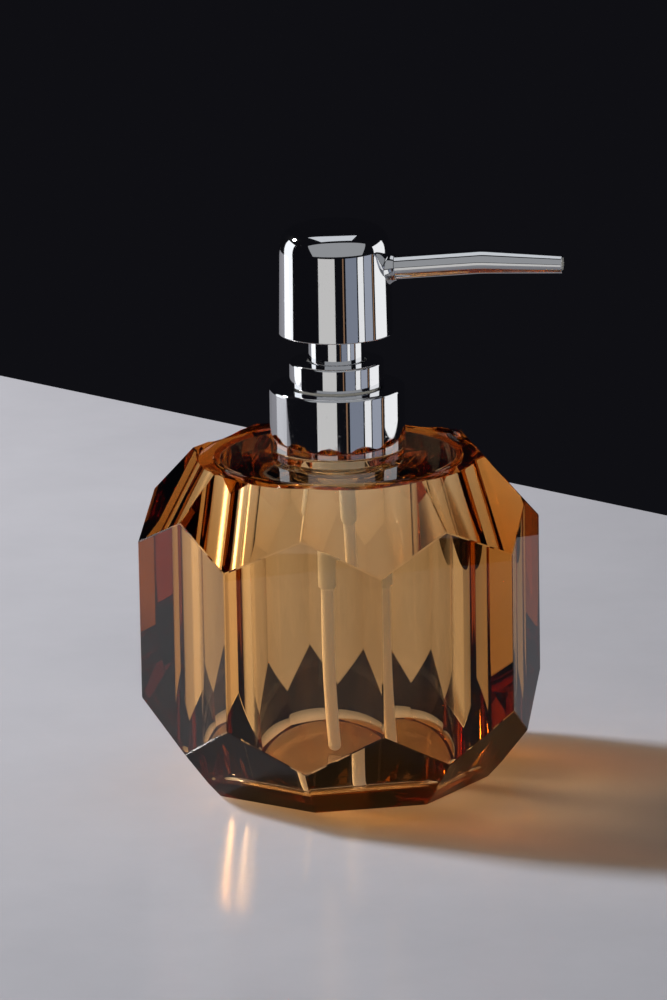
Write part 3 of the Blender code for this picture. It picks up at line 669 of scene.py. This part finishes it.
cover_low, cover_high = (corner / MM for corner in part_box("guide_cover"))
cover_outline = [
    (7.2, cover_high.z, 0.25),
    (11.55, cover_high.z, 0.6),
    (11.55, cover_low.z, 0.25),
    (10.85, cover_low.z, 0.1),
    (10.85, cover_high.z - 0.7, 0.2),
    (7.2, cover_high.z - 0.7, 0),
]
cover = even_shading(shown("guide_cover_skin", turned(cover_outline, 160, 6), plating))
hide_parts("guide_cover")
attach(cover, "pump_body")

sleeve_low, sleeve_high = (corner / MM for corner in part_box("stem_sleeve"))
sleeve_outline = [
    (6.8, sleeve_high.z, 0.2),
    (6.8, sleeve_low.z, 0.3),
    (6.0, sleeve_low.z, 0.2),
    (6.0, sleeve_high.z, 0.2),
]
sleeve = even_shading(shown("stem_sleeve_skin", turned(sleeve_outline, 96), plating))
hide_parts("stem_sleeve")
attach(sleeve, "head")

head_low, head_high = (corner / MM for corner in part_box("head_shell"))
head_outline = [
    (0, head_high.z, 0),
    (13.55, head_high.z, 6.6),
    (13.95, head_low.z, 0.3),
    (13.15, head_low.z, 0.2),
    (12.75, head_high.z - 0.8, 5.6),
    (0, head_high.z - 0.8, 0),
]
head = shown("head_skin", turned(head_outline, 192, 12), plating)

# ---------------------------------------------------------------------------
# Nozzle. A thin plated tube, drawn to a taper beyond its one soft bend and trimmed square at
# the tip. It is pressed through a flared ring into the head's plastic core.
# ---------------------------------------------------------------------------
NOZZLE_ROOT = Vector((10.2, 0, head_low.z + 16.1))
NOZZLE_BEND = Vector((35.8, 0, head_low.z + 18.5))
NOZZLE_TIP = Vector((55.9, 0, head_low.z + 18.35))
NOZZLE_RADIUS = 2.95
NOZZLE_TIP_RADIUS = 2.25
NOZZLE_WALL = 0.45
BEND_REACH = 1.4  # how far the soft bend runs to each side of its middle
FLARE_OUTLINE = (
    # (distance from the pump's axis, radius), along the outside and back along the inside
    (11.9, 5.2),
    (12.6, 4.7),
    (13.2, 4.2),
    (13.8, 3.75),
    (14.3, 3.45),
    (14.75, 3.3),
    (15.0, 3.25),
    (15.1, 3.15),
    (15.1, 3.0),
    (12.0, 3.0),
)
HOLE_RADIUS = 3.1
HOLE_SPAN = (11.0, 16.0)


def nozzle_station(out):
    """Centre, direction and outer radius of the nozzle at a distance from the pump's axis."""
    rise_in = (NOZZLE_BEND.z - NOZZLE_ROOT.z) / (NOZZLE_BEND.x - NOZZLE_ROOT.x)
    rise_out = (NOZZLE_TIP.z - NOZZLE_BEND.z) / (NOZZLE_TIP.x - NOZZLE_BEND.x)
    past = max(-1.0, min(1.0, (out - NOZZLE_BEND.x) / BEND_REACH))
    slope = rise_in + (rise_out - rise_in) * (past + 1) / 2
    blend = (past + 1) ** 2 / 4 * BEND_REACH
    height = NOZZLE_BEND.z + rise_in * (out - NOZZLE_BEND.x) + (rise_out - rise_in) * blend
    if past >= 1:
        height = NOZZLE_BEND.z + rise_out * (out - NOZZLE_BEND.x)
    taper = (NOZZLE_RADIUS - NOZZLE_TIP_RADIUS) / (NOZZLE_TIP.x - NOZZLE_BEND.x)
    radius = NOZZLE_RADIUS - taper * max(0.0, out - NOZZLE_BEND.x)
    return Vector((out, 0, height)), Vector((1, 0, slope)), radius


def nozzle_wall(inset, start, end, soft):
    """Rings of one face of the nozzle's wall, rounded inwards at the tip."""
    bends = [NOZZLE_BEND.x + step * 0.35 for step in range(-4, 5)]
    outs = [start, *bends, *(end - soft * (1 - math.sin(step * math.pi / 8)) for step in range(5))]
    rings = []
    for index, out in enumerate(outs):
        middle, direction, radius = nozzle_station(out)
        turn = max(0, index - len(outs) + 5) * math.pi / 8
        rings.append((middle, direction, radius - inset - soft * (1 - math.cos(turn))))
    return rings


nozzle_plating = bright_plating("nozzle_plating", 0.00001)
outer_wall = nozzle_wall(0, NOZZLE_ROOT.x, NOZZLE_TIP.x, 0.2)
inner_wall = nozzle_wall(NOZZLE_WALL, NOZZLE_ROOT.x, NOZZLE_TIP.x, 0.0)
nozzle = shown("nozzle_skin", drawn([*outer_wall, *reversed(inner_wall)], 64), nozzle_plating)
even_shading(nozzle)
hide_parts("nozzle_tube")
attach(nozzle, "head")

flare_rings = [(*nozzle_station(out)[:2], radius) for out, radius in FLARE_OUTLINE]
flare = shown("nozzle_flare", drawn(flare_rings, 64), nozzle_plating)
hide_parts("nozzle_boss")
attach(flare, "head")

hole_start, hole_along, _ = nozzle_station(HOLE_SPAN[0])
hole_middle = hole_start.lerp(nozzle_station(HOLE_SPAN[1])[0], 0.5)
hole = bmesh.new()
bmesh.ops.create_cone(
    hole,
    cap_ends=True,
    segments=48,
    radius1=HOLE_RADIUS * MM,
    radius2=HOLE_RADIUS * MM,
    depth=(HOLE_SPAN[1] - HOLE_SPAN[0]) * MM,
    matrix=Matrix.Translation(hole_middle * MM)
    @ hole_along.to_track_quat("Z", "Y").to_matrix().to_4x4(),
)
worked(head, shown("head_hole", hole), "DIFFERENCE")
head.data.materials.clear()
head.data.materials.append(plating)
even_shading(head)
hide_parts("head_shell")
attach(head, "head")

# ---------------------------------------------------------------------------
# Stage. A pale honed slab under the bottle, with its far edge on the slant and darkness
# beyond. Its colour is painted darker in mirrors, a painted shade as on a table that lies in the
# object's own shade.
# ---------------------------------------------------------------------------
VIEW_TURN = math.radians(11.4)  # from the +X axis to the camera's right hand
EDGE_BEARING = math.radians(46.6) + VIEW_TURN
SLAB_TOP = -0.00015


def pale_slab():
    """Honed pale stone: faint clouds in its tone and gloss, and painted shade that darkens its colour
    in mirrors.
    """
    material, nodes, links, shader = finish_of("pale_slab")
    place = nodes.new("ShaderNodeTexCoord")
    cloud = nodes.new("ShaderNodeTexNoise")
    cloud.inputs["Scale"].default_value = 14
    cloud.inputs["Detail"].default_value = 8
    cloud.inputs["Roughness"].default_value = 0.65
    tone = nodes.new("ShaderNodeMix")
    tone.data_type = "RGBA"
    tone.inputs["A"].default_value = (0.50, 0.51, 0.57, 1)
    tone.inputs["B"].default_value = (0.63, 0.64, 0.71, 1)
    gloss = nodes.new("ShaderNodeMapRange")
    gloss.inputs["To Min"].default_value = 0.12
    gloss.inputs["To Max"].default_value = 0.24
    links.new(place.outputs["Object"], cloud.inputs["Vector"])
    links.new(cloud.outputs["Fac"], tone.inputs["Factor"])
    links.new(cloud.outputs["Fac"], gloss.inputs["Value"])
    # Painted shade: for glossy reflection rays the slab's colour is multiplied by 0.4.
    ray = nodes.new("ShaderNodeLightPath")
    mirrored = nodes.new("ShaderNodeMix")
    mirrored.data_type = "RGBA"
    mirrored.blend_type = "MULTIPLY"
    mirrored.inputs["B"].default_value = (0.4, 0.4, 0.4, 1)
    mirror_shade_mask = nodes.new("ShaderNodeMath")
    mirror_shade_mask.operation = "MULTIPLY"
    links.new(ray.outputs["Is Glossy Ray"], mirror_shade_mask.inputs[0])
    links.new(ray.outputs["Is Reflection Ray"], mirror_shade_mask.inputs[1])
    links.new(mirror_shade_mask.outputs[0], mirrored.inputs["Factor"])
    links.new(tone.outputs["Result"], mirrored.inputs["A"])
    links.new(mirrored.outputs["Result"], shader.inputs["Base Color"])
    links.new(gloss.outputs["Result"], shader.inputs["Roughness"])
    return material


def slab(name, near, far, left, right):
    """A rectangle that reaches this far from the pump's axis, along and across EDGE_BEARING."""
    bm = bmesh.new()
    bmesh.ops.create_grid(bm, x_segments=1, y_segments=1, size=0.5)
    bmesh.ops.scale(bm, verts=bm.verts[:], vec=(far + near, left + right, 1))
    bmesh.ops.translate(bm, verts=bm.verts[:], vec=((far - near) / 2, (left - right) / 2, SLAB_TOP))
    bmesh.ops.rotate(bm, verts=bm.verts[:], matrix=Matrix.Rotation(EDGE_BEARING, 3, "Z"))
    shown(name, bm, pale_slab())


slab("slab", 0.26, 0.2415, 0.8, 0.26)

world = bpy.data.worlds.new("dark_room")
scene.world = world
world.use_nodes = True
world.node_tree.nodes["Background"].inputs["Color"].default_value = (0.0048, 0.0048, 0.0066, 1)

# ---------------------------------------------------------------------------
# Light. A key lamp behind on the left throws the shadow to the right, a wide ceiling panel
# lights the slab, and upright cards round the front give the plating its bands to mirror.
# ---------------------------------------------------------------------------


def panel(name, bearing, distance, height, width, tall, power, colour=(1, 1, 1), aim=0.07):
    """A soft light panel that faces the object; bearing is counted from the camera's right hand."""
    light = bpy.data.lights.new(name, "AREA")
    light.shape = "RECTANGLE"
    light.size = width
    light.size_y = tall
    light.energy = power
    light.color = colour
    holder = bpy.data.objects.new(name, light)
    scene.collection.objects.link(holder)
    angle = math.radians(bearing) + VIEW_TURN
    spot = Vector((distance * math.cos(angle), distance * math.sin(angle), height))
    holder.location = spot
    holder.rotation_euler = (Vector((0, 0, aim)) - spot).to_track_quat("-Z", "Y").to_euler()
    holder.visible_camera = False
    return holder


def card(name, bearing, spread, glow, colour=(1, 1, 1), distance=0.3, low=0.0, high=0.12):
    """An upright card for the plating to mirror: bearing and spread in degrees, glow as radiance."""
    width = 2 * distance * math.tan(math.radians(spread) / 2)
    tall = high - low
    power = glow * math.pi * width * tall
    middle = (low + high) / 2
    holder = panel(name, bearing, distance, middle, width, tall, power, colour, middle)
    only_mirrored(holder)


def only_mirrored(holder):
    """Keeps a light out of the slab's shading and out of the view through the bottle."""
    holder.visible_transmission = False
    holder.visible_diffuse = False


panel("key", 154, 1.1, 0.85, 0.16, 0.16, 26, (1, 0.97, 0.94))
panel("ceiling", 100, 0.15, 1.3, 1.0, 0.8, 1.8, (0.93, 0.96, 1.0))
only_mirrored(panel("overhead", -84, 0.34, 0.36, 1.2, 0.5, 0.62, (0.95, 0.97, 1.0), 0.12))
card("card_left", 160, 29, 1.2, (0.96, 0.98, 1.0), distance=0.42, high=0.3)
card("card_front", -107.5, 33, 0.62, (1.0, 0.98, 0.95))
card("card_brown_left", -74.5, 2.4, 0.25, (1.0, 0.55, 0.3))
card("card_blue_left", -58, 23, 0.28, (0.72, 0.8, 1.0))
card("card_white", -38, 12, 0.9)
card("card_blue_right", -21, 18, 0.42, (0.78, 0.84, 1.0))
card("card_brown_right", -9, 2.4, 0.25, (1.0, 0.55, 0.3))
card("card_right", 14, 36, 1.0, distance=0.36, high=0.24)

# ---------------------------------------------------------------------------
# Camera. A long lens in front of the bottle and above it, looking down with a slight roll.
# AIM, close to the pump's axis, is what the middle of the picture shows.
# ---------------------------------------------------------------------------
REACH = 1.7187
PITCH = math.radians(14.403)
ROLL = math.radians(1.0)
AIM = Vector((-0.001336, 0, 0.06904))
lens = bpy.data.cameras.new("camera")
lens.sensor_width = 36
lens.lens = 253.3
lens.clip_start = 0.05
lens.clip_end = 20
camera = bpy.data.objects.new("camera", lens)
scene.collection.objects.link(camera)
onward = Vector((0, math.cos(PITCH), -math.sin(PITCH)))
right = Vector((1, 0, 0))
up = right.cross(onward)
side = right * math.cos(ROLL) - up * math.sin(ROLL)
top = right * math.sin(ROLL) + up * math.cos(ROLL)
stance = Matrix((side, top, -onward)).transposed().to_4x4()
stance.translation = AIM - onward * REACH
camera.matrix_world = Matrix.Rotation(VIEW_TURN, 4, "Z") @ stance
scene.camera = camera
scene.view_settings.view_transform = "Standard"
scene.cycles.max_bounces = 24
scene.cycles.transmission_bounces = 24
scene.cycles.glossy_bounces = 12
scene.cycles.use_denoising = True
